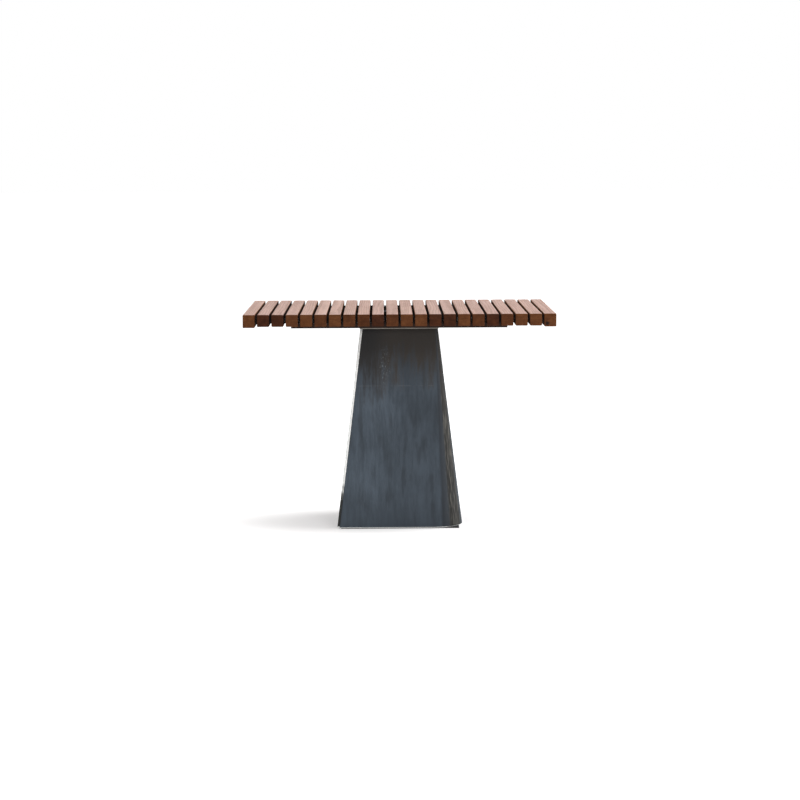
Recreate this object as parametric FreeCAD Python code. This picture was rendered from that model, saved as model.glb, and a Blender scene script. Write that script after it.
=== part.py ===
import FreeCAD, Part
import math
import os

# Backless bench: a seat of square hardwood slats, drawn together by three steel tie rods, on a flat
# steel frame and one tapered pedestal folded from two steel sheets.
# Millimetres. +X runs along the seat across the slats, +Y to the rear along them, +Z up.
# The origin is on the floor, under the centre of the seat.

Vector = FreeCAD.Vector
X_AXIS = Vector(1, 0, 0)
Y_AXIS = Vector(0, 1, 0)
Z_AXIS = Vector(0, 0, 1)

# ---- Driving dimensions ------------------------------------------------------------------------

SEAT_HEIGHT = 455.0

SLAT_COUNT = 22
SLAT_WIDTH = 25.0
SLAT_THICKNESS = 25.0
SLAT_LENGTH = 450.0
SLAT_GAP = 4.0
SLAT_EDGE_RADIUS = 2.0
SLAT_END_CHAMFER = 0.8
END_SLAT_DROP = 2.0             # how much deeper the first and last slats hang

ROD_DIAMETER = 8.0
ROD_INSET = 60.0                # from the slats' ends to the outer rods' axes
ROD_DROP = 2.5                  # of the rods' axes, below the middle of a slat's height
ROD_HOLE_CLEARANCE = 0.25       # radial, in the slats, spacers and washers
ROD_STICK_OUT = 2.0             # rod end past its nut
ROD_END_CHAMFER = 0.8
SPACER_DIAMETER = 14.0
ROD_NUT_ACROSS_FLATS = 13.0
ROD_NUT_HEIGHT = 6.5
ROD_WASHER_DIAMETER = 16.0
ROD_WASHER_THICKNESS = 1.6
ROD_RECESS_DIAMETER = 18.0      # counterbore in the end slats
ROD_RECESS_COVER = 2.0          # from the rod's end to the face of the end slat

RAIL_LENGTH = 445.0
RAIL_WIDTH = 40.0
RAIL_INSET = 110.0              # from the slats' ends to the rail's centre line
FRAME_THICKNESS = 10.0          # rails and cross bars
FRAME_EDGE_CHAMFER = 0.8
CROSS_BAR_WIDTH = 40.0
CROSS_BAR_SPACING = 100.0       # between their centre lines

SLAT_SCREW_DIAMETER = 4.8
SLAT_SCREW_LENGTH = 25.0
SLAT_SCREW_HEAD_DIAMETER = 9.5
SLAT_SCREW_HEAD_HEIGHT = 2.8
SLAT_SCREW_TIP = 5.0
PILOT_HOLE_SPARE = 0.5          # pilot hole past a screw's tip
SLAT_SCREW_EDGE_DISTANCE = 8.0  # least distance from a screw to the end of its rail

FRAME_SCREW_DIAMETER = 8.0
FRAME_SCREW_SPACING = 90.0      # along a cross bar
FRAME_SCREW_HEAD_DIAMETER = 16.0
FRAME_SCREW_HEAD_HEIGHT = 4.4
FRAME_NUT_ACROSS_FLATS = 13.0
FRAME_NUT_HEIGHT = 6.5
FRAME_SCREW_STICK_OUT = 2.0     # screw end past its nut
SOCKET_ACROSS_FLATS = 5.0       # hexagon socket of the frame screws
SOCKET_DEPTH = 3.0

CAP_THICKNESS = 6.0
CAP_OVERHANG = 1.0              # past the shell all round
CAP_EDGE_CHAMFER = 0.6

SHELL_BOTTOM_WIDTH = 262.0
SHELL_BOTTOM_DEPTH = 247.0
SHELL_TOP_WIDTH = 162.0
SHELL_TOP_DEPTH = 153.0
SHELL_WALL = 5.0
BEND_BOTTOM_RADIUS = 62.0       # outside radius of the fold at the foot
BEND_TOP_RADIUS = 8.0           # and at the cap

STIFFENER_HEIGHT = 300.0        # underside of the inner plate
STIFFENER_THICKNESS = 4.0
STIFFENER_HOLE_DIAMETER = 60.0

BASE_PLATE_THICKNESS = 6.0
PLINTH_HEIGHT = 2.5
PLINTH_INSET = 8.0              # shadow gap along the foot's straight sides
ANCHOR_SPACING_X = 160.0
ANCHOR_SPACING_Y = 150.0
ANCHOR_THREAD_DIAMETER = 12.0
ANCHOR_HOLE_DIAMETER = 13.0
ANCHOR_NUT_ACROSS_FLATS = 18.0
ANCHOR_NUT_HEIGHT = 10.0

THREAD_CLEARANCE = 0.1          # radial, between a thread and its nut or pilot hole
SCREW_HOLE_CLEARANCE = 0.3      # radial, where a screw passes through steel
HEAD_SEAT_CLEARANCE = 0.05      # radial, between a countersunk head and its seat
WELD_CLEARANCE = 0.2            # between a plate and the shell it is welded into
NUT_CORNER_CHAMFER = 0.8

# ---- Levels and places that follow ---------------------------------------------------------------

SLAT_BOTTOM = SEAT_HEIGHT - SLAT_THICKNESS
FRAME_BOTTOM = SLAT_BOTTOM - FRAME_THICKNESS
CAP_BOTTOM = FRAME_BOTTOM - CAP_THICKNESS
BASE_PLATE_TOP = PLINTH_HEIGHT + BASE_PLATE_THICKNESS

SLAT_PITCH = SLAT_WIDTH + SLAT_GAP
SEAT_LENGTH = SLAT_COUNT * SLAT_WIDTH + (SLAT_COUNT - 1) * SLAT_GAP
SLAT_CENTRES = [(i - (SLAT_COUNT - 1) / 2) * SLAT_PITCH for i in range(SLAT_COUNT)]
GAP_CENTRES = [centre + SLAT_PITCH / 2 for centre in SLAT_CENTRES[:-1]]

ROD_LEVEL = SEAT_HEIGHT - SLAT_THICKNESS / 2 - ROD_DROP
ROD_OFFSET = SLAT_LENGTH / 2 - ROD_INSET
ROD_PLACES = {"front": -ROD_OFFSET, "middle": 0.0, "rear": ROD_OFFSET}
ROD_END = SEAT_LENGTH / 2 - ROD_RECESS_COVER
ROD_NUT_FACE = ROD_END - ROD_STICK_OUT
ROD_WASHER_FACE = ROD_NUT_FACE - ROD_NUT_HEIGHT
ROD_SEAT_FACE = ROD_WASHER_FACE - ROD_WASHER_THICKNESS
ROD_HOLE_RADIUS = ROD_DIAMETER / 2 + ROD_HOLE_CLEARANCE

RAIL_OFFSET = SLAT_LENGTH / 2 - RAIL_INSET
SCREWED_CENTRES = [centre for centre in SLAT_CENTRES
                   if abs(centre) <= RAIL_LENGTH / 2 - SLAT_SCREW_EDGE_DISTANCE]
FRAME_SCREW_PLACES = [(x * CROSS_BAR_SPACING / 2, y * FRAME_SCREW_SPACING / 2)
                      for x in (-1, 1) for y in (-1, 1)]
FRAME_SCREW_LENGTH = FRAME_THICKNESS + CAP_THICKNESS + FRAME_NUT_HEIGHT + FRAME_SCREW_STICK_OUT
ANCHOR_PLACES = [(x * ANCHOR_SPACING_X / 2, y * ANCHOR_SPACING_Y / 2)
                 for x in (-1, 1) for y in (-1, 1)]


# ---- Shape helpers -------------------------------------------------------------------------------

def block(x_range, y_range, z_range):
    """A box between two limits on each axis."""
    size = [high - low for low, high in (x_range, y_range, z_range)]
    return Part.makeBox(*size, Vector(x_range[0], y_range[0], z_range[0]))


def rod(diameter, start, end):
    """A round bar from one point to another."""
    run = end - start
    return Part.makeCylinder(diameter / 2, run.Length, start, run)


def tube(outer_diameter, bore_diameter, start, end):
    return rod(outer_diameter, start, end).cut(rod(bore_diameter, start, end))


def rounded_bar(width, height, length, radius):
    """A bar along +Y of rounded rectangular section, centred on the Y axis, from y = 0."""
    a, b, r = width / 2, height / 2, radius
    lean = r * (1 - math.sqrt(0.5))
    corners = [(a, -b), (a, b), (-a, b), (-a, -b)]
    edges = []
    for i, (x, z) in enumerate(corners):
        next_x, next_z = corners[(i + 1) % 4]
        side_x, side_z = (next_x > x) - (next_x < x), (next_z > z) - (next_z < z)
        turn_x, turn_z = -side_z, side_x
        line_start = Vector(x + side_x * r, 0, z + side_z * r)
        line_end = Vector(next_x - side_x * r, 0, next_z - side_z * r)
        arc_middle = Vector(next_x + (turn_x - side_x) * lean, 0, next_z + (turn_z - side_z) * lean)
        arc_end = Vector(next_x + turn_x * r, 0, next_z + turn_z * r)
        edges.append(Part.makeLine(line_start, line_end))
        edges.append(Part.Arc(line_end, arc_middle, arc_end).toShape())
    return Part.Face(Part.Wire(edges)).extrude(Vector(0, length, 0))


def edges_where(shape, test):
    """The edges whose every vertex passes the test."""
    return [edge for edge in shape.Edges if all(test(vertex.Point) for vertex in edge.Vertexes)]


def hex_prism(across_flats, start, direction, height):
    corner = across_flats / math.sqrt(3)
    points = [Vector(corner * math.cos(math.radians(60 * k)), corner * math.sin(math.radians(60 * k)), 0)
              for k in range(7)]
    prism = Part.Face(Part.makePolygon(points)).extrude(Vector(0, 0, height))
    prism.Placement = FreeCAD.Placement(start, FreeCAD.Rotation(Z_AXIS, direction))
    return prism


def hex_nut(across_flats, height, thread_diameter, start, direction):
    """A plain nut that stands on the point start, with its corners turned off at both ends."""
    end = start + direction * height
    turned = rod(2 * across_flats / math.sqrt(3), start, end)
    turned = turned.makeChamfer(NUT_CORNER_CHAMFER, [e for e in turned.Edges if e.Closed])
    nut = hex_prism(across_flats, start, direction, height).common(turned)
    return nut.cut(rod(thread_diameter + 2 * THREAD_CLEARANCE, start, end))


def countersink(head_diameter, shank_diameter, head_height, face_point, direction, clearance=0.0):
    """A countersunk head, or with a clearance its seat. It narrows along direction from face_point."""
    return Part.makeCone(head_diameter / 2 + clearance, shank_diameter / 2 + clearance,
                         head_height, face_point, direction)


# ---- Seat slats ----------------------------------------------------------------------------------

def make_slat(centre, is_end):
    """One slat, drilled for the tie rods and from below for its screws."""
    drop = END_SLAT_DROP if is_end else 0.0
    height = SLAT_THICKNESS + drop
    slat = rounded_bar(SLAT_WIDTH, height, SLAT_LENGTH, SLAT_EDGE_RADIUS)
    slat.translate(Vector(centre, -SLAT_LENGTH / 2, SEAT_HEIGHT - height / 2))
    ends = [edge for side in (-1, 1)
            for edge in edges_where(slat, lambda p, s=side: abs(p.y - s * SLAT_LENGTH / 2) < 1e-6)]
    slat = slat.makeChamfer(SLAT_END_CHAMFER, ends)

    tools = []
    for y in ROD_PLACES.values():
        tools.append(rod(2 * ROD_HOLE_RADIUS, Vector(centre - SLAT_WIDTH, y, ROD_LEVEL),
                         Vector(centre + SLAT_WIDTH, y, ROD_LEVEL)))
        if is_end:
            outward = math.copysign(1, centre)
            tools.append(rod(ROD_RECESS_DIAMETER, Vector(outward * ROD_SEAT_FACE, y, ROD_LEVEL),
                             Vector(outward * SEAT_LENGTH, y, ROD_LEVEL)))
    if centre in SCREWED_CENTRES:
        tip = FRAME_BOTTOM + SLAT_SCREW_LENGTH + PILOT_HOLE_SPARE
        for y in (-RAIL_OFFSET, RAIL_OFFSET):
            tools.append(rod(SLAT_SCREW_DIAMETER + 2 * THREAD_CLEARANCE,
                             Vector(centre, y, FRAME_BOTTOM), Vector(centre, y, tip)))
    return slat.cut(tools)


def slats():
    last = SLAT_COUNT - 1
    return {f"slat_{i + 1:02d}": [make_slat(centre, i in (0, last))]
            for i, centre in enumerate(SLAT_CENTRES)}


# ---- Tie rods ------------------------------------------------------------------------------------

def tie_rods():
    """Three rods through all the slats, a spacer in every gap, and a washer and nut at each end."""
    pieces = {"tie_rod_washers": [], "tie_rod_nuts": []}
    for name, y in ROD_PLACES.items():
        bar = rod(ROD_DIAMETER, Vector(-ROD_END, y, ROD_LEVEL), Vector(ROD_END, y, ROD_LEVEL))
        bar = bar.makeChamfer(ROD_END_CHAMFER, [e for e in bar.Edges if e.Closed])
        pieces[f"tie_rod_{name}"] = [bar]
        pieces[f"spacers_{name}"] = [
            tube(SPACER_DIAMETER, 2 * ROD_HOLE_RADIUS, Vector(gap - SLAT_GAP / 2, y, ROD_LEVEL),
                 Vector(gap + SLAT_GAP / 2, y, ROD_LEVEL)) for gap in GAP_CENTRES]
        for end in (-1, 1):
            seat = Vector(end * ROD_SEAT_FACE, y, ROD_LEVEL)
            washer_face = Vector(end * ROD_WASHER_FACE, y, ROD_LEVEL)
            pieces["tie_rod_washers"].append(
                tube(ROD_WASHER_DIAMETER, 2 * ROD_HOLE_RADIUS, seat, washer_face))
            pieces["tie_rod_nuts"].append(
                hex_nut(ROD_NUT_ACROSS_FLATS, ROD_NUT_HEIGHT, ROD_DIAMETER, washer_face, X_AXIS * end))
    return pieces


# ---- Seat frame ----------------------------------------------------------------------------------

def flat_bar(x_range, y_range, ends_axis):
    """A frame bar with a small chamfer on its long edges."""
    bar = block(x_range, y_range, (FRAME_BOTTOM, SLAT_BOTTOM))
    long_edges = [e for e in bar.Edges
                  if abs((e.Vertexes[1].Point - e.Vertexes[0].Point).normalize() * ends_axis) > 0.99]
    return bar.makeChamfer(FRAME_EDGE_CHAMFER, long_edges)


def rail(side):
    """A rail across the slats, with a countersunk hole under each slat that is screwed to it."""
    y = side * RAIL_OFFSET
    bar = flat_bar((-RAIL_LENGTH / 2, RAIL_LENGTH / 2), (y - RAIL_WIDTH / 2, y + RAIL_WIDTH / 2), X_AXIS)
    tools = []
    for x in SCREWED_CENTRES:
        foot = Vector(x, y, FRAME_BOTTOM)
        tools.append(rod(SLAT_SCREW_DIAMETER + 2 * SCREW_HOLE_CLEARANCE, foot, Vector(x, y, SLAT_BOTTOM)))
        tools.append(countersink(SLAT_SCREW_HEAD_DIAMETER, SLAT_SCREW_DIAMETER, SLAT_SCREW_HEAD_HEIGHT,
                                 foot, Z_AXIS, HEAD_SEAT_CLEARANCE))
    return bar.cut(tools)


def cross_bar(side):
    """A bar between the rails, screwed down on the cap plate."""
    x = side * CROSS_BAR_SPACING / 2
    reach = RAIL_OFFSET - RAIL_WIDTH / 2
    bar = flat_bar((x - CROSS_BAR_WIDTH / 2, x + CROSS_BAR_WIDTH / 2), (-reach, reach), Y_AXIS)
    tools = []
    for screw_x, screw_y in FRAME_SCREW_PLACES:
        top = Vector(screw_x, screw_y, SLAT_BOTTOM)
        tools.append(rod(FRAME_SCREW_DIAMETER + 2 * SCREW_HOLE_CLEARANCE,
                         Vector(screw_x, screw_y, FRAME_BOTTOM), top))
        tools.append(countersink(FRAME_SCREW_HEAD_DIAMETER, FRAME_SCREW_DIAMETER, FRAME_SCREW_HEAD_HEIGHT,
                                 top, -Z_AXIS, HEAD_SEAT_CLEARANCE))
    return bar.cut(tools)


def slat_screw(x, y):
    """A countersunk wood screw, head flush with the underside of its rail."""
    foot = Vector(x, y, FRAME_BOTTOM)
    shank_top = Vector(x, y, FRAME_BOTTOM + SLAT_SCREW_LENGTH - SLAT_SCREW_TIP)
    head = countersink(SLAT_SCREW_HEAD_DIAMETER, SLAT_SCREW_DIAMETER, SLAT_SCREW_HEAD_HEIGHT, foot, Z_AXIS)
    shank = rod(SLAT_SCREW_DIAMETER, foot, shank_top)
    tip = Part.makeCone(SLAT_SCREW_DIAMETER / 2, 0, SLAT_SCREW_TIP, shank_top, Z_AXIS)
    return head.fuse([shank, tip]).removeSplitter()


def frame_screw(x, y):
    """A countersunk machine screw, head flush with the top of its cross bar."""
    top = Vector(x, y, SLAT_BOTTOM)
    head = countersink(FRAME_SCREW_HEAD_DIAMETER, FRAME_SCREW_DIAMETER, FRAME_SCREW_HEAD_HEIGHT,
                       top, -Z_AXIS)
    shank = rod(FRAME_SCREW_DIAMETER, top, Vector(x, y, SLAT_BOTTOM - FRAME_SCREW_LENGTH))
    socket = hex_prism(SOCKET_ACROSS_FLATS, top, -Z_AXIS, SOCKET_DEPTH)
    return head.fuse(shank).removeSplitter().cut(socket)


def seat_frame():
    return {
        "seat_rail_front": [rail(-1)],
        "seat_rail_rear": [rail(1)],
        "cross_bar_left": [cross_bar(-1)],
        "cross_bar_right": [cross_bar(1)],
        "slat_screws_front": [slat_screw(x, -RAIL_OFFSET) for x in SCREWED_CENTRES],
        "slat_screws_rear": [slat_screw(x, RAIL_OFFSET) for x in SCREWED_CENTRES],
        "frame_screws": [frame_screw(x, y) for x, y in FRAME_SCREW_PLACES],
        "frame_nuts": [hex_nut(FRAME_NUT_ACROSS_FLATS, FRAME_NUT_HEIGHT, FRAME_SCREW_DIAMETER,
                               Vector(x, y, CAP_BOTTOM), -Z_AXIS) for x, y in FRAME_SCREW_PLACES],
    }


# ---- Pedestal ------------------------------------------------------------------------------------

def shell_section(z):
    """Half width, half depth and outside fold radius of the pedestal at a height."""
    share = (z - PLINTH_HEIGHT) / (CAP_BOTTOM - PLINTH_HEIGHT)
    pairs = ((SHELL_BOTTOM_WIDTH / 2, SHELL_TOP_WIDTH / 2), (SHELL_BOTTOM_DEPTH / 2, SHELL_TOP_DEPTH / 2),
             (BEND_BOTTOM_RADIUS, BEND_TOP_RADIUS))
    return [bottom + (top - bottom) * share for bottom, top in pairs]


def fold(a, b, radius, z):
    """The start, middle and end of the quarter circle at the front right corner (a, -b)."""
    lean = radius * (1 - math.sqrt(0.5))
    return Vector(a - radius, -b, z), Vector(a - lean, -b + lean, z), Vector(a, -b + radius, z)


def plate_outline(z, inset):
    """The pedestal's section, moved in by an inset: folded at two corners and square at two."""
    a, b, radius = shell_section(z)
    a, b, radius = a - inset, b - inset, max(radius - inset, 0.5)
    start, middle, end = fold(a, b, radius, z)
    edges = []
    for sign in (1, -1):
        turned = [Vector(sign * p.x, sign * p.y, z) for p in (start, middle, end)]
        corner = Vector(sign * a, sign * b, z)
        next_start = Vector(-sign * start.x, -sign * start.y, z)
        edges += [Part.Arc(*turned).toShape(), Part.makeLine(turned[2], corner),
                  Part.makeLine(corner, next_start)]
    return Part.Wire(edges)


def fitted_plate(z_range, inset):
    """A plate whose edge follows the pedestal's taper."""
    return Part.makeLoft([plate_outline(z, inset) for z in z_range], True, True)


def half_shell_outline(z):
    """The front and right walls in one: square where it meets the other half at either end."""
    a, b, radius = shell_section(z)
    outer = fold(a, b, radius, z)
    inner = fold(a - SHELL_WALL, b - SHELL_WALL, radius - SHELL_WALL, z)
    left_outer, left_inner = Vector(-a + SHELL_WALL, -b, z), Vector(-a + SHELL_WALL, -b + SHELL_WALL, z)
    rear_outer, rear_inner = Vector(a, b, z), Vector(a - SHELL_WALL, b, z)
    return Part.Wire([
        Part.makeLine(left_outer, outer[0]), Part.Arc(*outer).toShape(),
        Part.makeLine(outer[2], rear_outer), Part.makeLine(rear_outer, rear_inner),
        Part.makeLine(rear_inner, inner[2]), Part.Arc(*reversed(inner)).toShape(),
        Part.makeLine(inner[0], left_inner), Part.makeLine(left_inner, left_outer),
    ])


def half_shell(turn):
    """One folded sheet. The other is the same piece turned by half a circle."""
    shell = Part.makeLoft([half_shell_outline(z) for z in (PLINTH_HEIGHT, CAP_BOTTOM)], True, True)
    shell.rotate(Vector(0, 0, 0), Z_AXIS, turn)
    return shell


def cap_plate():
    """The plate on top of the shell, drilled for the frame screws."""
    half_x, half_y = SHELL_TOP_WIDTH / 2 + CAP_OVERHANG, SHELL_TOP_DEPTH / 2 + CAP_OVERHANG
    plate = block((-half_x, half_x), (-half_y, half_y), (CAP_BOTTOM, FRAME_BOTTOM))
    top_edges = edges_where(plate, lambda p: abs(p.z - FRAME_BOTTOM) < 1e-6)
    plate = plate.makeChamfer(CAP_EDGE_CHAMFER, top_edges)
    return plate.cut([rod(FRAME_SCREW_DIAMETER + 2 * SCREW_HOLE_CLEARANCE, Vector(x, y, CAP_BOTTOM),
                          Vector(x, y, FRAME_BOTTOM)) for x, y in FRAME_SCREW_PLACES])


def plinth_plate():
    """A plain rectangular plate. Its square corners show under the two folds of the shell."""
    half_x, half_y = SHELL_BOTTOM_WIDTH / 2 - PLINTH_INSET, SHELL_BOTTOM_DEPTH / 2 - PLINTH_INSET
    plate = block((-half_x, half_x), (-half_y, half_y), (0, PLINTH_HEIGHT))
    return plate.cut(anchor_drills((0, PLINTH_HEIGHT)))


def anchor_drills(z_range):
    return [rod(ANCHOR_HOLE_DIAMETER, Vector(x, y, z_range[0]), Vector(x, y, z_range[1]))
            for x, y in ANCHOR_PLACES]


def pedestal():
    base_levels = (PLINTH_HEIGHT, BASE_PLATE_TOP)
    stiffener_levels = (STIFFENER_HEIGHT, STIFFENER_HEIGHT + STIFFENER_THICKNESS)
    inside = SHELL_WALL + WELD_CLEARANCE
    stiffener = fitted_plate(stiffener_levels, inside)
    stiffener_hole = rod(STIFFENER_HOLE_DIAMETER, *[Vector(0, 0, z) for z in stiffener_levels])
    return {
        "cap_plate": [cap_plate()],
        "shell_front_right": [half_shell(0)],
        "shell_rear_left": [half_shell(180)],
        "stiffener_plate": [stiffener.cut(stiffener_hole)],
        "base_plate": [fitted_plate(base_levels, inside).cut(anchor_drills(base_levels))],
        "plinth_plate": [plinth_plate()],
        "anchor_nuts": [hex_nut(ANCHOR_NUT_ACROSS_FLATS, ANCHOR_NUT_HEIGHT, ANCHOR_THREAD_DIAMETER,
                                Vector(x, y, BASE_PLATE_TOP), Z_AXIS) for x, y in ANCHOR_PLACES],
    }


# ---- Output --------------------------------------------------------------------------------------

def main():
    os.makedirs("parts", exist_ok=True)
    for group in (slats(), tie_rods(), seat_frame(), pedestal()):
        for name, shapes in group.items():
            solids = [solid for shape in shapes for solid in shape.Solids]
            if len(solids) != len(shapes) or not all(solid.isValid() for solid in solids):
                raise ValueError(f"{name} is not {len(shapes)} sound solids")
            shape = solids[0] if len(solids) == 1 else Part.makeCompound(solids)
            shape.exportStep(os.path.join("parts", f"{name}.step"))


main()
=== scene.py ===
"""Backless bench: hardwood slats on a tapered pedestal folded from waxed steel sheet. Metres, +Z up."""
import math
import random

import bmesh
import bpy
from mathutils import Matrix, Vector, noise


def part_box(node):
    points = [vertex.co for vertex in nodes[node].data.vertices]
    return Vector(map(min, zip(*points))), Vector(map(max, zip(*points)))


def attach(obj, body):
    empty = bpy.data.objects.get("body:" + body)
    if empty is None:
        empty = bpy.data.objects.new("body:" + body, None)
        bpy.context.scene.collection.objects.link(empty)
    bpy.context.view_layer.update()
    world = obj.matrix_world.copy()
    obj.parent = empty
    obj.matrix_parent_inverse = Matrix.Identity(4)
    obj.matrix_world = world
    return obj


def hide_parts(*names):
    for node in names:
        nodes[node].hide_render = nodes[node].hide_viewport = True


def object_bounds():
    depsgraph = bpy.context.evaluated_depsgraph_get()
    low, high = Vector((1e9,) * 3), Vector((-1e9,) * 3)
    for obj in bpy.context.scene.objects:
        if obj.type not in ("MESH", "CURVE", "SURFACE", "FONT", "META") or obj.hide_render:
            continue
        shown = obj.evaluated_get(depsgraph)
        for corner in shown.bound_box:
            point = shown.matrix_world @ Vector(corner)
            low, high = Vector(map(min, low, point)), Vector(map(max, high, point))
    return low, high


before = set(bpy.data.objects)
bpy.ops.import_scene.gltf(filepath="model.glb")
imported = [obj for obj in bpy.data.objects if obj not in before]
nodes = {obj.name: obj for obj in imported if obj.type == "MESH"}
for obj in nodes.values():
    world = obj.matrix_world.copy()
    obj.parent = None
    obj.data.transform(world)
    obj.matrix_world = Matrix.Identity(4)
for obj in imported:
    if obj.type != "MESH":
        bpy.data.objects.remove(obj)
cad_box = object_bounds()

MM = 0.001
BODY = "root"
SLAT_NAMES = sorted(name for name in nodes if name.startswith("slat_") and name[5:].isdigit())
ROD_NAMES = ("tie_rod_front", "tie_rod_middle", "tie_rod_rear")
SPACER_NAMES = ("spacers_front", "spacers_middle", "spacers_rear")

# ---- Looks that are chosen -------------------------------------------------------------------------

# Tone of each slat from left to right: light, medium or dark.
SLAT_GRADES = "LDDLLMLMMDMLLDDLMDMLLL"
KNOTTY_SLAT = "slat_22"
KNOT_COLOUR = (0.012, 0.006, 0.004)
BLUED_DARK = (0.029, 0.039, 0.051)
BLUED_PALE = (0.060, 0.078, 0.100)
# Scale colours. Near the shell's top the brown also paints the reflection of the wood underside.
SCALE_BROWN_AND_WOOD_REFLECTION = (0.0260, 0.0210, 0.0170)
SCALE_BLACK = (0.0130, 0.0115, 0.0110)
BLUED_BLOTCH = (0.017, 0.022, 0.028)
NICK_PALE = (0.20, 0.23, 0.25)
WELD_PALE = (0.16, 0.17, 0.18)
# The fold's colours: a dark line where it starts to turn, and streaks painted darker than the face as shade
# for the darker surround it reflects.
FOLD_LINE_DARK = (0.009, 0.012, 0.017)
FOLD_DARK = (0.013, 0.0125, 0.0115)
FOLD_RUBBED = (0.070, 0.068, 0.060)
EDGE_LOW_DARK = (0.016, 0.018, 0.018)
EDGE_GROUND = ((0.58, 0.59, 0.59), (0.80, 0.80, 0.78))
WOOD = {
    # grade: (pale streak, dark streak)
    "L": ((0.330, 0.165, 0.085), (0.150, 0.062, 0.028)),
    "M": ((0.270, 0.125, 0.062), (0.110, 0.043, 0.020)),
    "D": ((0.175, 0.070, 0.035), (0.062, 0.022, 0.011)),
}
# The tops are painted paler, towards a common pinkish tan: partly sun bleaching, partly a painted sheen of
# the bright surround on their oil.
BLEACHED_AND_SHEEN = ((0.68, 0.455, 0.385), (0.44, 0.26, 0.205))
# End grain drinks more oil than the sides do. In a gap, the sides are painted dark as shade between the
# slats, and their top few millimetres are painted pale as light reaching in from above.
END_GRAIN_SHADE = (0.40, 0.29, 0.18)
GAP_PAINTED_SHADE = (0.12, 0.080, 0.050)
GAP_PAINTED_LIGHT_DEPTH = 4.5 * MM

# The floor's own glow, under the bench and far from it, and the distances between which it rises. Its dip
# round SHADOW_MIDDLE paints where the pedestal's shadow shows and how fast it fades.
FLOOR_GLOW = (0.26, 0.75)
FLOOR_GLOW_REACH = (0.12, 0.52)
FLOOR_GLOW_SHAPE = (1.0, 1.8, 1.0)
SHADOW_MIDDLE = Vector((-0.09, -0.02, 0))

CAMERA_LENS = 104.8
CAMERA_PLACE = (-0.0331, -4.9118, 0.782)
CAMERA_YAW, CAMERA_PITCH, CAMERA_ROLL = (math.radians(angle) for angle in (-0.406, 6.105, -0.271))

# ---- Sizes -----------------------------------------------------------------------------------------

SLAT_ARRIS = 2.0 * MM
SLAT_END_ARRIS = 1.1 * MM
SMALLEST_ARRIS = 0.2 * MM
# Room at each side of a slat, inside its CAD box, for bow, twist and ripple.
SLAT_PLAY = 0.35 * MM
LARGEST_BOW = (0.25 * MM, 0.20 * MM)
LARGEST_TWIST = math.radians(0.6)
RIPPLE = 0.12 * MM
ROD_PLAY = 0.25 * MM
RECESS_PLAY = 1.0 * MM
WASHER_THICKNESS = 1.6 * MM
SHEET_EASE = 0.6 * MM
# The ground foot is eased this far up, and this share of that inward.
FOOT_EASE = 2.4 * MM
FOOT_EASE_INWARD = 0.6
CAD_EASE = 0.25 * MM

# The sheet's thickness and the outside radii of its conical fold, as in the CAD part.
SHELL_WALL = 5 * MM
FOLD_AT_FOOT = 62 * MM
FOLD_AT_TOP = 8 * MM
# The weld's middle, below the underside of the inner plate.
WELD_DROP = 4 * MM
# The middle of the nicks, from the bench's middle and from the top of the shell.
NICKS_X = -30 * MM
NICKS_BELOW_TOP = 75 * MM


# ---- Mesh helpers ----------------------------------------------------------------------------------

def new_piece(name, mesh, replaced, materials):
    """A visible piece that rides on the bench and stands for the CAD nodes it replaces."""
    piece = bpy.data.objects.new(name, mesh)
    bpy.context.scene.collection.objects.link(piece)
    for material in materials:
        mesh.materials.append(material)
    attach(piece, BODY)
    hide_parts(*replaced)


def smooth_by_angle(mesh, degrees):
    """Smooth shading that stays crisp where two faces meet at more than an angle."""
    for polygon in mesh.polygons:
        polygon.use_smooth = True
    mesh.set_sharp_from_angle(angle=math.radians(degrees))


def rounded_outline(corners, steps):
    """A closed outline through (x, y, radius) corners, each turned with an arc of a few steps."""
    points = []
    for i, (x, y, radius) in enumerate(corners):
        corner = Vector((x, y))
        before = (Vector(corners[i - 1][:2]) - corner).normalized()
        after = (Vector(corners[(i + 1) % len(corners)][:2]) - corner).normalized()
        half_angle = before.angle(after) / 2
        start, end = [corner + side * radius / math.tan(half_angle) for side in (before, after)]
        centre = corner + (before + after).normalized() * radius / math.sin(half_angle)
        for k in range(steps + 1):
            share = k / steps
            arm = (start - centre).lerp(end - centre, share)
            points.append(centre + arm.normalized() * radius)
    return points


def with_midpoints(outline, longest):
    """The outline with its long sides divided evenly, so that no side is longer than a limit."""
    points = []
    for i, point in enumerate(outline):
        follower = outline[(i + 1) % len(outline)]
        parts = max(1, math.ceil((follower - point).length / longest))
        points += [point.lerp(follower, k / parts) for k in range(parts)]
    return points


def loft(name, rings):
    """A closed mesh through rings of the same number of points, capped at both ends."""
    mesh_data = bmesh.new()
    layers = [[mesh_data.verts.new(point) for point in ring] for ring in rings]
    count = len(rings[0])
    for lower, upper in zip(layers, layers[1:]):
        for k in range(count):
            after = (k + 1) % count
            mesh_data.faces.new((lower[k], lower[after], upper[after], upper[k]))
    mesh_data.faces.new(list(reversed(layers[0])))
    mesh_data.faces.new(layers[-1])
    bmesh.ops.recalc_face_normals(mesh_data, faces=mesh_data.faces)
    mesh = bpy.data.meshes.new(name)
    mesh_data.to_mesh(mesh)
    mesh_data.free()
    return mesh


def cylinder(radius, start, end, segments=32):
    """A plain cutter between two points."""
    run = end - start
    cutter = bmesh.new()
    turn = run.to_track_quat("Z", "Y").to_matrix().to_4x4()
    bmesh.ops.create_cone(cutter, cap_ends=True, segments=segments, radius1=radius, radius2=radius,
                          depth=run.length, matrix=Matrix.Translation((start + end) / 2) @ turn)
    mesh = bpy.data.meshes.new("cutter")
    cutter.to_mesh(mesh)
    cutter.free()
    return mesh


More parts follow.
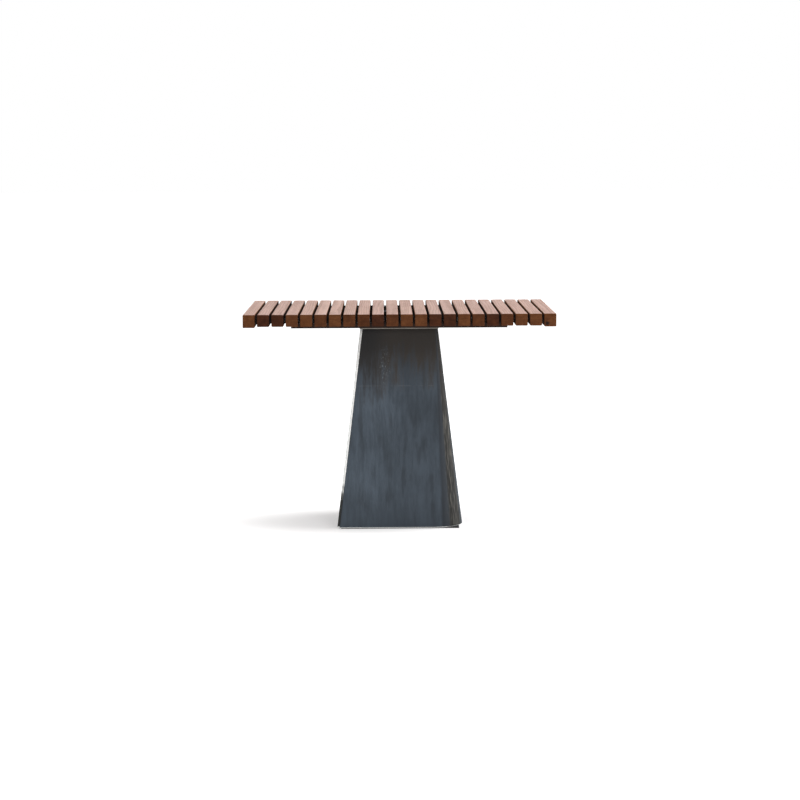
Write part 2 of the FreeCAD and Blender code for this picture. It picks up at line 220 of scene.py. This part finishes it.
def drilled(mesh, cutters):
    """The mesh with each cutter's shape taken out of it."""
    block = bpy.data.objects.new("block", mesh)
    bpy.context.scene.collection.objects.link(block)
    tools = []
    for cutter in cutters:
        tool = bpy.data.objects.new("tool", cutter)
        bpy.context.scene.collection.objects.link(tool)
        tools.append(tool)
        cut = block.modifiers.new("cut", "BOOLEAN")
        cut.object, cut.operation, cut.solver = tool, "DIFFERENCE", "EXACT"
    graph = bpy.context.evaluated_depsgraph_get()
    result = bpy.data.meshes.new_from_object(block.evaluated_get(graph))
    for leftover in [block] + tools:
        bpy.data.objects.remove(leftover)
    return result


# ---- Material helpers ------------------------------------------------------------------------------

class Shader:
    """One material's node tree, with short ways to add nodes to it."""

    def __init__(self, name):
        self.material = bpy.data.materials.new(name)
        self.material.use_nodes = True
        self.tree = self.material.node_tree
        self.surface = self.tree.nodes["Principled BSDF"]
        self.place = self.add("ShaderNodeTexCoord").outputs["Object"]

    def add(self, kind, inputs=(), **settings):
        node = self.tree.nodes.new(kind)
        for key, value in settings.items():
            setattr(node, key, value)
        for key, value in dict(inputs).items():
            self.put(node.inputs[key], value)
        return node

    def put(self, socket, value):
        """Sets a socket to a number or colour, or joins it to another node's output."""
        if isinstance(value, bpy.types.NodeSocket):
            self.tree.links.new(value, socket)
        elif socket.type == "RGBA" and len(value) == 3:
            socket.default_value = (*value, 1)
        else:
            socket.default_value = value

    def set(self, **inputs):
        for key, value in inputs.items():
            self.put(self.surface.inputs[key.replace("_", " ")], value)

    def stretched(self, scale, offset=(0, 0, 0)):
        """Object coordinates, moved and then scaled per axis."""
        moved = self.add("ShaderNodeVectorMath", {0: self.place, 1: offset}, operation="SUBTRACT").outputs[0]
        return self.add("ShaderNodeVectorMath", {0: moved, 1: scale}, operation="MULTIPLY").outputs[0]

    def noise(self, vector, detail=3.0, roughness=0.55):
        inputs = {"Vector": vector, "Scale": 1.0, "Detail": detail, "Roughness": roughness}
        return self.add("ShaderNodeTexNoise", inputs).outputs["Fac"]

    def math(self, operation, a, b=0.0):
        return self.add("ShaderNodeMath", {0: a, 1: b}, operation=operation).outputs[0]

    def weighted(self, *terms):
        """The sum of (value, weight) terms."""
        total = None
        for value, weight in terms:
            part = self.math("MULTIPLY", value, weight)
            total = self.math("ADD", total, part) if total else part
        return total

    def span(self, value, low, high, to_low=0.0, to_high=1.0):
        """Takes value from one range to another with soft ends, and holds it outside."""
        node = self.add("ShaderNodeMapRange", {0: value, 1: low, 2: high, 3: to_low, 4: to_high},
                        interpolation_type="SMOOTHSTEP")
        return node.outputs[0]

    def between(self, value, rise, full, fall, gone):
        """1 from full to fall and 0 outside rise and gone, with soft flanks."""
        return self.math("MULTIPLY", self.span(value, rise, full), self.span(value, fall, gone, 1.0, 0.0))

    def mix(self, factor, a, b, blend="MIX"):
        node = self.add("ShaderNodeMix", data_type="RGBA", blend_type=blend)
        for index, value in ((0, factor), (6, a), (7, b)):
            self.put(node.inputs[index], value)
        return node.outputs[2]

    def axis(self, vector, name):
        return self.add("ShaderNodeSeparateXYZ", {0: vector}).outputs[name]

    def bump(self, layers):
        """Stacks (height, depth in metres) layers into one normal for the surface."""
        normal = None
        for height, depth in layers:
            node = self.add("ShaderNodeBump", {"Height": height, "Distance": depth, "Strength": 1.0})
            if normal:
                self.put(node.inputs["Normal"], normal)
            normal = node.outputs["Normal"]
        self.set(Normal=normal)


# ---- Hardwood --------------------------------------------------------------------------------------

SURFACES = ("planed", "sawn", "in_gap")


def hardwood(name, grade, low, high, surface):
    """Oiled hardwood whose rings, fibres and pores run through the slat as they do in a real stick."""
    pick = random.Random(name)
    shader = Shader(f"{name}_{surface}")
    pale, dark = WOOD[grade]
    heart = Vector((low.x + pick.uniform(-45, 70) * MM, 0, low.z - pick.uniform(15, 60) * MM))
    shift = [pick.uniform(0, 9) for _ in range(3)]

    sway = shader.noise(shader.stretched((9, 2.2, 9), shift), detail=2)
    from_heart = shader.stretched((1, 0.02, 1), heart)
    radius = shader.add("ShaderNodeVectorMath", {0: from_heart}, operation="LENGTH").outputs["Value"]
    radius = shader.math("ADD", radius, shader.math("MULTIPLY", sway, 9 * MM))
    ring_width = pick.uniform(1.7, 3.0) * MM
    rings = shader.math("FRACT", shader.math("DIVIDE", radius, ring_width))
    rings = shader.span(rings, 0.05, 0.95)

    fibres = shader.noise(shader.stretched((520, 9, 520), shift), detail=4, roughness=0.6)
    streaks = shader.noise(shader.stretched((95, 2.4, 95), shift), detail=3)
    clouds = shader.noise(shader.stretched((26, 7, 26), shift), detail=2)
    pores = shader.noise(shader.stretched((1500, 42, 1500), shift), detail=1)
    pores = shader.span(pores, 0.62, 0.70)

    ring_share = 0.16 if surface == "sawn" else 0.30
    tone = shader.weighted((rings, ring_share), (streaks, 0.75), (fibres, 0.45), (clouds, 0.35))
    tone = shader.span(tone, 0.55, 1.30)
    colour = shader.mix(tone, dark, pale)
    if surface == "planed":
        normal = shader.add("ShaderNodeNewGeometry").outputs["Normal"]
        # Faces turned upwards get the paler tone: sun bleaching and painted sheen.
        on_top = shader.span(shader.axis(normal, "Z"), 0.30, 0.85)
        bleached_and_sheen_pale, bleached_and_sheen_dark = BLEACHED_AND_SHEEN
        bleached_and_sheen = shader.mix(0.12, shader.mix(tone, bleached_and_sheen_dark, bleached_and_sheen_pale), colour)
        colour = shader.mix(on_top, colour, bleached_and_sheen)
    colour = shader.mix(shader.math("MULTIPLY", pores, 0.45), colour, [c * 0.35 for c in dark])

    if surface == "planed":
        rough = shader.math("ADD", fibres, shader.math("MULTIPLY", pores, 0.4))
        rough = shader.span(rough, 0.2, 1.0, 0.42, 0.60)
        rough = shader.math("ADD", rough, shader.math("MULTIPLY", on_top, 0.20))
        shader.set(Roughness=rough, Specular_IOR_Level=0.25)
        layers = [(fibres, 0.16 * MM), (pores, -0.10 * MM), (streaks, 0.25 * MM)]
    elif surface == "sawn":
        saw = shader.noise(shader.stretched((60, 60, 900), shift), detail=2)
        worn = [share * 0.75 for share in END_GRAIN_SHADE]
        shade = shader.mix(shader.span(saw, 0.35, 0.75), END_GRAIN_SHADE, worn)
        colour = shader.mix(1.0, colour, shade, "MULTIPLY")
        shader.set(Roughness=shader.span(saw, 0.3, 0.7, 0.68, 0.82), Specular_IOR_Level=0.10)
        layers = [(saw, 0.10 * MM), (pores, -0.12 * MM)]
    else:
        # Painted shade on the slat's sides in a gap, with painted light on their top few millimetres.
        near_top = shader.span(shader.axis(shader.place, "Z"), high.z - GAP_PAINTED_LIGHT_DEPTH, high.z - 1 * MM)
        shade = shader.mix(near_top, GAP_PAINTED_SHADE, (1.0, 0.88, 0.80))
        colour = shader.mix(1.0, colour, shade, "MULTIPLY")
        shader.set(Roughness=0.85, Specular_IOR_Level=0.06)
        layers = [(fibres, 0.16 * MM)]
    if name.endswith(KNOTTY_SLAT) and surface != "in_gap":
        colour = knot(shader, colour, Vector((low.x + 6 * MM, low.y, low.z + 7 * MM)))
    shader.set(Base_Color=colour)
    shader.bump(layers)
    return shader.material


def surface_of(polygon, low, high):
    """Which wood surface a face has: planed, sawn at the ends, or in a gap beside another slat."""
    normal = polygon.normal
    if abs(normal.y) > 0.99 or (abs(normal.y) > 0.25 and normal.z < 0.5):
        return "sawn"
    leftmost, rightmost = low.x - cad_box[0].x < 1 * MM, cad_box[1].x - high.x < 1 * MM
    outermost = (leftmost and normal.x < 0) or (rightmost and normal.x > 0)
    return "in_gap" if abs(normal.x) > 0.8 and not outermost else "planed"


def knot(shader, colour, centre):
    """A small dark knot that breaks out on the front end of one slat."""
    ragged = shader.noise(shader.stretched((240, 240, 240)), detail=2)
    away = shader.stretched((1, 0.25, 1), centre)
    distance = shader.add("ShaderNodeVectorMath", {0: away}, operation="LENGTH").outputs["Value"]
    distance = shader.math("ADD", distance, shader.math("MULTIPLY", ragged, 5 * MM))
    return shader.mix(shader.span(distance, 4.5 * MM, 8 * MM, 1.0, 0.0), colour, KNOT_COLOUR)


def slat_section(half_width, half_height, radius):
    """A slat's cross-section, with rounded arrises and enough points for its ripple."""
    corners = [(half_width, -half_height), (half_width, half_height),
               (-half_width, half_height), (-half_width, -half_height)]
    outline = rounded_outline([(x, z, radius) for x, z in corners], steps=4)
    return with_midpoints(outline, longest=3.6 * MM)


def slat_stations(length):
    """(distance from the front end, inset) pairs: two rounded end arrises and even stations between."""
    turn = [(SLAT_END_ARRIS * (1 - math.sin(a)), SLAT_END_ARRIS * (1 - math.cos(a)))
            for a in (math.radians(d) for d in (90, 60, 30, 0))]
    turn = sorted((along, inset) for inset, along in turn)
    spans = 64
    inner = [(SLAT_END_ARRIS + (length - 2 * SLAT_END_ARRIS) * k / spans, 0.0) for k in range(1, spans)]
    return turn + inner + [(length - along, inset) for along, inset in reversed(turn)]


def make_slat(name, grade):
    """One sawn and planed stick: a little bowed and twisted, with worn arrises, drilled for the rods."""
    low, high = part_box(name)
    centre = (low + high) / 2
    pick = random.Random("shape " + name)
    bow_across, bow_up = [pick.uniform(-limit, limit) for limit in LARGEST_BOW]
    bow = Vector((bow_across, 0, bow_up))
    twist = pick.uniform(-LARGEST_TWIST, LARGEST_TWIST)
    length = high.y - low.y
    half_width, half_height = (high.x - low.x) / 2 - SLAT_PLAY, (high.z - low.z) / 2 - SLAT_PLAY / 2
    drift = pick.uniform(0, 50)

    rings = []
    for along, inset in slat_stations(length):
        share = along / length
        wear = 1 + 0.35 * noise.noise(Vector((drift, share * 9, 0)))
        radius = max(SLAT_ARRIS * wear - inset, SMALLEST_ARRIS)
        section = slat_section(half_width - inset, half_height - inset, radius)
        turn = Matrix.Rotation(twist * (share - 0.5), 2)
        swing = bow * math.sin(math.pi * share)
        ring = []
        for point in section:
            x, z = turn @ point
            spot = Vector((x * 60 + drift, share * 14, z * 60))
            ripple = RIPPLE * noise.noise(spot)
            outward = Vector((x, 0, z)).normalized()
            ring.append(centre + Vector((x, along - length / 2, z)) + swing + outward * ripple)
        rings.append(ring)
    mesh = loft(name + "_wood", rings)
    mesh = drilled(mesh, rod_holes(low, high))
    smooth_by_angle(mesh, 40)
    for polygon in mesh.polygons:
        polygon.material_index = SURFACES.index(surface_of(polygon, low, high))
        if abs(polygon.normal.y) > 0.99:
            polygon.use_smooth = False
    finish = "hardwood_" + name
    materials = [hardwood(finish, grade, low, high, surface) for surface in SURFACES]
    new_piece(name + "_wood", mesh, [name], materials)


def rod_holes(low, high):
    """Cutters for the tie rods, with the recesses in the outer faces of the end slats."""
    washer_low, washer_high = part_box("tie_rod_washers")
    recess = (washer_high.z - washer_low.z) / 2 + RECESS_PLAY
    cutters = []
    for rod in ROD_NAMES:
        rod_low, rod_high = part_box(rod)
        axis = (rod_low + rod_high) / 2
        start, end = [Vector((x, axis.y, axis.z)) for x in (low.x - 2 * MM, high.x + 2 * MM)]
        cutters.append(cylinder((rod_high.z - rod_low.z) / 2 + ROD_PLAY, start, end))
        if low.x < washer_low.x:
            bottom = Vector((washer_low.x + WASHER_THICKNESS, axis.y, axis.z))
            cutters.append(cylinder(recess, start, bottom))
        if high.x > washer_high.x:
            bottom = Vector((washer_high.x - WASHER_THICKNESS, axis.y, axis.z))
            cutters.append(cylinder(recess, bottom, end))
    return cutters


# ---- Pedestal shell --------------------------------------------------------------------------------

def sheet_steel(name):
    """Hot-rolled sheet, blued by its mill scale, brushed up and down and waxed."""
    shader = Shader(name)
    shell_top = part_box("shell_front_right")[1].z
    height = shader.axis(shader.place, "Z")
    across = shader.axis(shader.place, "X")
    clouds = shader.noise(shader.stretched((11, 11, 7)), detail=4)
    brushed = shader.noise(shader.stretched((150, 150, 7)), detail=4, roughness=0.6)
    fine = shader.noise(shader.stretched((900, 900, 28)), detail=2)

    tone = shader.weighted((clouds, 0.75), (brushed, 0.45), (fine, 0.20))
    blotches = shader.noise(shader.stretched((70, 70, 11), (2, 6, 4)), detail=3)
    colour = shader.mix(shader.span(tone, 0.50, 0.95), BLUED_DARK, BLUED_PALE)
    colour = shader.mix(shader.span(blotches, 0.48, 0.68, 0.0, 0.50), colour, BLUED_BLOTCH)

    # Brown-black scale is left near the top, more of it to the left. This darkening also paints the seat's
    # shade, and its brown is partly a painted reflection of the wood underside.
    level = shader.math("ADD", height, shader.math("MULTIPLY", shader.math("SUBTRACT", clouds, 0.5), 0.20))
    level = shader.math("ADD", level, shader.math("MULTIPLY", shader.math("SUBTRACT", brushed, 0.5), 0.17))
    level = shader.math("SUBTRACT", level, shader.math("MULTIPLY", across, 0.20))
    scale = shader.span(level, shell_top - 0.130, shell_top - 0.045)
    brown = shader.mix(shader.span(across, -0.065, -0.015), SCALE_BLACK, SCALE_BROWN_AND_WOOD_REFLECTION)
    # The right half is a little duller.
    duller = shader.mix(1.0, colour, (0.70, 0.71, 0.72), "MULTIPLY")
    colour = shader.mix(shader.span(across, -0.035, 0.02), colour, duller)
    colour = shader.mix(shader.math("MULTIPLY", scale, 0.94), colour, brown)
    # The foot is a little darker.
    colour = shader.mix(shader.span(height, 0.0, 0.06, 0.40, 0.0), colour, BLUED_DARK)
    colour = dark_edge_patches(shader, colour)
    colour = nicks(shader, colour, shell_top)
    colour = weld_witness(shader, colour)
    colour = shaded_fold(shader, colour)

    rough = shader.span(shader.math("ADD", brushed, fine), 0.5, 1.5, 0.40, 0.60)
    normal = shader.add("ShaderNodeNewGeometry").outputs["Normal"]
    on_fold = shader.span(shader.math("ABSOLUTE", shader.axis(normal, "X")), 0.45, 0.65, 0.0, 0.28)
    rough = shader.math("ADD", rough, on_fold)
    shader.set(Base_Color=colour, Roughness=rough, Metallic=0.2, Specular_IOR_Level=0.3)
    shader.bump([(clouds, 0.5 * MM), (brushed, 0.05 * MM), (fine, 0.02 * MM)])
    return shader.material


def dark_edge_patches(shader, colour):
    """Black patches along the cut edge of each sheet, on its lower half."""
    half_top, _, top = shell_extent("shell_front_right", True)
    half_foot, _, foot = shell_extent("shell_front_right", False)
    height = shader.axis(shader.place, "Z")
    half_width = shader.span(height, foot, top, half_foot, half_top)
    normal = shader.add("ShaderNodeNewGeometry").outputs["Normal"]
    # The cut edge is at -X on the front face and at +X on the rear one.
    along_y = shader.axis(normal, "Y")
    facing = shader.math("MULTIPLY", shader.math("SIGN", along_y), -1.0)
    on_face = shader.span(shader.math("ABSOLUTE", along_y), 0.4, 0.6)
    from_edge = shader.math("MULTIPLY", shader.axis(shader.place, "X"), facing)
    from_edge = shader.math("ADD", from_edge, half_width)
    patches = shader.noise(shader.stretched((170, 170, 24), (1, 8, 3)), detail=3)
    near = shader.math("MULTIPLY", shader.span(from_edge, 2 * MM, 12 * MM, 1.0, 0.0),
                       shader.span(height, 0.16, 0.23, 1.0, 0.0))
    near = shader.math("MULTIPLY", near, on_face)
    amount = shader.math("MULTIPLY", near, shader.span(patches, 0.40, 0.56, 0.0, 0.9))
    return shader.mix(amount, colour, SCALE_BLACK)


def nicks(shader, colour, shell_top):
    """A loose column of short pale nicks on the upper part of the faces."""
    centre = Vector((NICKS_X, 0, shell_top - NICKS_BELOW_TOP))
    patch = shader.stretched((62, 0, 17), centre)
    patch = shader.add("ShaderNodeVectorMath", {0: patch}, operation="LENGTH").outputs["Value"]
    flecks = shader.noise(shader.stretched((640, 640, 190), (3, 1, 2)), detail=3)
    flecks = shader.math("MULTIPLY", shader.span(flecks, 0.56, 0.74), shader.span(patch, 0.25, 1.0, 1.0, 0.0))
    return shader.mix(shader.math("MULTIPLY", flecks, 0.50), colour, NICK_PALE)


def weld_witness(shader, colour):
    """The faint broken line that the weld under the inner plate leaves on the outside."""
    height = shader.axis(shader.place, "Z")
    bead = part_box("stiffener_plate")[0].z - WELD_DROP
    off_line = shader.math("ABSOLUTE", shader.math("SUBTRACT", height, bead))
    broken = shader.noise(shader.stretched((38, 38, 38), (5, 5, 5)), detail=1)
    line = shader.math("MULTIPLY", shader.span(off_line, 0.3 * MM, 1.4 * MM, 1.0, 0.0),
                       shader.span(broken, 0.45, 0.65))
    return shader.mix(shader.math("MULTIPLY", line, 0.10), colour, WELD_PALE)


def shaded_fold(shader, colour):
    """The fold: dark along the band where it starts to turn, and streaked brown-grey further round, black
    towards its top. The streaked brown-grey is painted darker than the face as shade, standing in for the
    darker surround that the turned sheet reflects.
    """
    normal = shader.add("ShaderNodeNewGeometry").outputs["Normal"]
    turned = shader.math("ABSOLUTE", shader.axis(normal, "X"))
    height = shader.axis(shader.place, "Z")
    streaks = shader.noise(shader.stretched((260, 260, 16), (7, 2, 0)), detail=3)
    fold_streaks_and_shade = shader.mix(shader.span(streaks, 0.42, 0.72), FOLD_DARK, FOLD_RUBBED)
    fold_streaks_and_shade = shader.mix(shader.span(height, 0.22, 0.34), fold_streaks_and_shade, SCALE_BLACK)
    colour = shader.mix(shader.between(turned, 0.46, 0.62, 0.88, 0.985), colour, fold_streaks_and_shade)
    tightening = shader.between(turned, 0.24, 0.36, 0.48, 0.62)
    return shader.mix(shader.math("MULTIPLY", tightening, 0.80), colour, FOLD_LINE_DARK)


def bare_steel_edge(name):
    """Cut edges of the sheet: ground bright, and dark on the lowest tenth of a metre."""
    shader = Shader(name)
    height = shader.axis(shader.place, "Z")
    grain = shader.noise(shader.stretched((500, 500, 60)), detail=3)
    foot_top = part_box("shell_front_right")[0].z + FOOT_EASE
    bright = shader.mix(shader.span(grain, 0.3, 0.7), *EDGE_GROUND)
    # The eased foot itself is bright too.
    above = shader.span(shader.math("ADD", height, shader.math("MULTIPLY", grain, 0.05)), 0.085, 0.130)
    at_foot = shader.span(height, foot_top, foot_top + 2 * MM, 1.0, 0.0)
    ground = shader.math("MAXIMUM", above, at_foot)
    shader.set(Base_Color=shader.mix(ground, EDGE_LOW_DARK, bright),
               Roughness=shader.span(grain, 0.3, 0.7, 0.38, 0.55), Metallic=0.55, Specular_IOR_Level=0.5)
    shader.bump([(grain, 0.04 * MM)])
    return shader.material


def shell_extent(node, at_top):
    """Half width and half depth of the pedestal at its top or foot, read from the CAD sheet."""
    points = [vertex.co for vertex in nodes[node].data.vertices]
    level = (max if at_top else min)(point.z for point in points)
    edge = [point for point in points if abs(point.z - level) < 0.1 * MM]
    return max(abs(point.x) for point in edge), max(abs(point.y) for point in edge), level


def make_shell(node, turn, blued, bare):
    """One folded sheet: conical bend, eased cut edges and a ground foot."""
    wall = SHELL_WALL
    top_x, top_y, top = shell_extent(node, True)
    foot_x, foot_y, foot = shell_extent(node, False)

    def ring(level, inset):
        share = (level - foot) / (top - foot)
        a = foot_x + (top_x - foot_x) * share - inset
        b = foot_y + (top_y - foot_y) * share - inset
        bend = FOLD_AT_FOOT + (FOLD_AT_TOP - FOLD_AT_FOOT) * share
        thick = wall - 2 * inset
        free = max(SHEET_EASE - inset, 0.1 * MM)
        end = -a + wall
        corners = [(end, -b, free), (a, -b, bend - inset), (a, b, free), (a - thick, b, free),
                   (a - thick, -b + thick, bend - wall + inset), (end, -b + thick, free)]
        outline = rounded_outline(corners, steps=24)
        spin = Matrix.Rotation(turn, 2)
        return [Vector((*(spin @ point), level)) for point in outline]

    arcs = [math.radians(d) for d in (90, 60, 30, 0)]
    foot_turn = [(foot + FOOT_EASE * (1 - math.cos(a)), FOOT_EASE * (1 - math.sin(a)) * FOOT_EASE_INWARD)
                 for a in reversed(arcs)]
    top_turn = [(top - SHEET_EASE * (1 - math.cos(a)), SHEET_EASE * (1 - math.sin(a))) for a in arcs]
    spans = 40
    straight = top - SHEET_EASE - foot - FOOT_EASE
    middle = [(foot + FOOT_EASE + straight * k / spans, 0.0) for k in range(1, spans)]
    mesh = loft(node + "_sheet", [ring(*station) for station in foot_turn + middle + top_turn])
    smooth_by_angle(mesh, 30)
    finishes = [blued, bare]
    new_piece(node + "_sheet", mesh, [node], finishes)
    # Bare are the ground foot and the one cut edge that shows, which lies beside the other sheet.
    side = 1 if turn else -1
    for polygon in mesh.polygons:
        on_foot = polygon.center.z < foot + FOOT_EASE and abs(polygon.normal.z) > 0.2
        cut_edge = (side * polygon.normal.y < -0.9 and side * polygon.center.y < 0
                    and side * polygon.center.x < -(abs(polygon.center.y) - wall * 2))
        if on_foot or cut_edge:
            polygon.material_index = finishes.index(bare)


# ---- Frame, fasteners, plates and spacers ----------------------------------------------------------

def plain_finish(name, dark, pale, roughness, metallic, specular=0.5):
    """A finely mottled finish for metal or polymer."""
    shader = Shader(name)
    mottle = shader.noise(shader.stretched((220, 220, 220)), detail=4)
    clouds = shader.noise(shader.stretched((24, 24, 24)), detail=2)
    tone = shader.weighted((mottle, 0.6), (clouds, 0.6))
    colour = shader.mix(shader.span(tone, 0.4, 0.8), dark, pale)
    shader.set(Base_Color=colour, Roughness=shader.span(mottle, 0.3, 0.7, roughness - 0.07, roughness + 0.07),
               Metallic=metallic, Specular_IOR_Level=specular)
    shader.bump([(mottle, 0.04 * MM), (clouds, 0.2 * MM)])
    return shader.material


def ease_edges(name, material):
    """Gives a CAD piece its finish and breaks its sharp edges, as a file would."""
    piece = nodes[name]
    piece.data.materials.clear()
    piece.data.materials.append(material)
    weld = piece.modifiers.new("weld", "WELD")
    weld.merge_threshold = 0.001 * MM
    bevel = piece.modifiers.new("ease", "BEVEL")
    bevel.width, bevel.segments = CAD_EASE, 2
    bevel.limit_method, bevel.angle_limit = "ANGLE", math.radians(40)
    piece.modifiers.new("normals", "WEIGHTED_NORMAL")


# ---- Stage -----------------------------------------------------------------------------------------

def floor_material():
    """Matt white board. It glows a little, and more so far off, so that it meets the surround unseen; its low
    glow round the pedestal's foot, centred a little to the left, paints where the shadow shows and how fast
    it fades.
    """
    shader = Shader("floor")
    shade = shader.noise(shader.stretched((1.2, 1.2, 1.2)), detail=2)
    from_middle = shader.stretched(FLOOR_GLOW_SHAPE, SHADOW_MIDDLE)
    distance = shader.add("ShaderNodeVectorMath", {0: from_middle}, operation="LENGTH").outputs["Value"]
    shader.set(Base_Color=shader.mix(shade, (0.86, 0.86, 0.86), (0.90, 0.90, 0.90)), Roughness=0.9,
               Specular_IOR_Level=0.0, Emission_Color=(1, 1, 1),
               Emission_Strength=shader.span(distance, *FLOOR_GLOW_REACH, *FLOOR_GLOW))
    return shader.material


def make_floor():
    mesh_data = bmesh.new()
    bmesh.ops.create_grid(mesh_data, x_segments=2, y_segments=2, size=40)
    mesh = bpy.data.meshes.new("floor")
    mesh_data.to_mesh(mesh)
    mesh_data.free()
    mesh.materials.append(floor_material())
    floor = bpy.data.objects.new("floor", mesh)
    bpy.context.scene.collection.objects.link(floor)


def area_light(name, place, target, size, energy):
    light = bpy.data.lights.new(name, "AREA")
    light.shape, light.size, light.size_y = "RECTANGLE", *size
    light.energy = energy
    lamp = bpy.data.objects.new(name, light)
    bpy.context.scene.collection.objects.link(lamp)
    lamp.location = place
    lamp.rotation_euler = (Vector(target) - Vector(place)).to_track_quat("-Z", "Y").to_euler()
    lamp.visible_camera = False


def make_world():
    """A white surround to look at, and a softer one for light."""
    world = bpy.data.worlds.new("studio")
    bpy.context.scene.world = world
    world.use_nodes = True
    tree = world.node_tree
    output = tree.nodes["World Output"]
    seen, lit = tree.nodes["Background"], tree.nodes.new("ShaderNodeBackground")
    seen.inputs["Color"].default_value, seen.inputs["Strength"].default_value = (1, 1, 1, 1), 1.0
    lit.inputs["Color"].default_value, lit.inputs["Strength"].default_value = (1, 1, 1, 1), 0.5
    path, choice = tree.nodes.new("ShaderNodeLightPath"), tree.nodes.new("ShaderNodeMixShader")
    tree.links.new(path.outputs["Is Camera Ray"], choice.inputs[0])
    tree.links.new(lit.outputs[0], choice.inputs[1])
    tree.links.new(seen.outputs[0], choice.inputs[2])
    tree.links.new(choice.outputs[0], output.inputs["Surface"])


def make_camera():
    camera = bpy.data.cameras.new("camera")
    camera.sensor_width, camera.lens = 36, CAMERA_LENS
    eye = bpy.data.objects.new("camera", camera)
    bpy.context.scene.collection.objects.link(eye)
    turn = Matrix.Rotation(CAMERA_YAW, 4, "Z") @ Matrix.Rotation(math.pi / 2 - CAMERA_PITCH, 4, "X")
    turn = turn @ Matrix.Rotation(CAMERA_ROLL, 4, "Z")
    eye.matrix_world = Matrix.Translation(CAMERA_PLACE) @ turn
    bpy.context.scene.camera = eye


# ---- Making ----------------------------------------------------------------------------------------

make_camera()
make_floor()
make_world()
# A wide low light from the right throws the pedestal's short wedge of shadow to the left.
area_light("side", place=(2.1, 0.20, 0.60), target=(0, 0.05, 0.05), size=(3.2, 0.7), energy=42)
area_light("front", place=(0.6, -3.4, 2.6), target=(0, 0, 0.2), size=(2.4, 1.6), energy=55)
area_light("backdrop", place=(0.1, 3.4, 0.95), target=(0, 0, 0.45), size=(1.9, 1.1), energy=14)
area_light("overhead", place=(0, 0.3, 2.6), target=(0, 0, 0.45), size=(1.8, 1.2), energy=16)
bpy.context.scene.view_settings.view_transform = "Standard"

for slat_name, slat_grade in zip(SLAT_NAMES, SLAT_GRADES):
    make_slat(slat_name, slat_grade)

blued_steel = sheet_steel("blued_sheet")
bare_steel = bare_steel_edge("bare_edge")
make_shell("shell_front_right", 0.0, blued_steel, bare_steel)
make_shell("shell_rear_left", math.pi, blued_steel, bare_steel)

dark_steel = plain_finish("dark_steel", (0.012, 0.006, 0.004), (0.024, 0.012, 0.008),
                          roughness=0.7, metallic=0.1, specular=0.15)
cap_steel = plain_finish("cap_steel", (0.13, 0.118, 0.102), (0.21, 0.195, 0.17), roughness=0.45, metallic=0.4)
mill_steel = plain_finish("mill_steel", (0.022, 0.022, 0.023), (0.050, 0.050, 0.052),
                          roughness=0.6, metallic=0.3)
stainless = plain_finish("stainless", (0.26, 0.26, 0.255), (0.38, 0.38, 0.37), roughness=0.38, metallic=1.0)
zinc = plain_finish("zinc", (0.42, 0.43, 0.45), (0.60, 0.61, 0.62), roughness=0.40, metallic=1.0)
polymer = plain_finish("polymer", (0.006, 0.005, 0.005), (0.012, 0.010, 0.009),
                       roughness=0.8, metallic=0.0, specular=0.08)

FINISHES = {
    dark_steel: ("seat_rail_front", "seat_rail_rear", "cross_bar_left", "cross_bar_right"),
    cap_steel: ("cap_plate",),
    mill_steel: ("stiffener_plate", "base_plate", "plinth_plate"),
    stainless: (*ROD_NAMES, "tie_rod_nuts", "tie_rod_washers", "slat_screws_front", "slat_screws_rear"),
    zinc: ("frame_screws", "frame_nuts", "anchor_nuts"),
    polymer: SPACER_NAMES,
}
for finish, names in FINISHES.items():
    for node_name in names:
        ease_edges(node_name, finish)
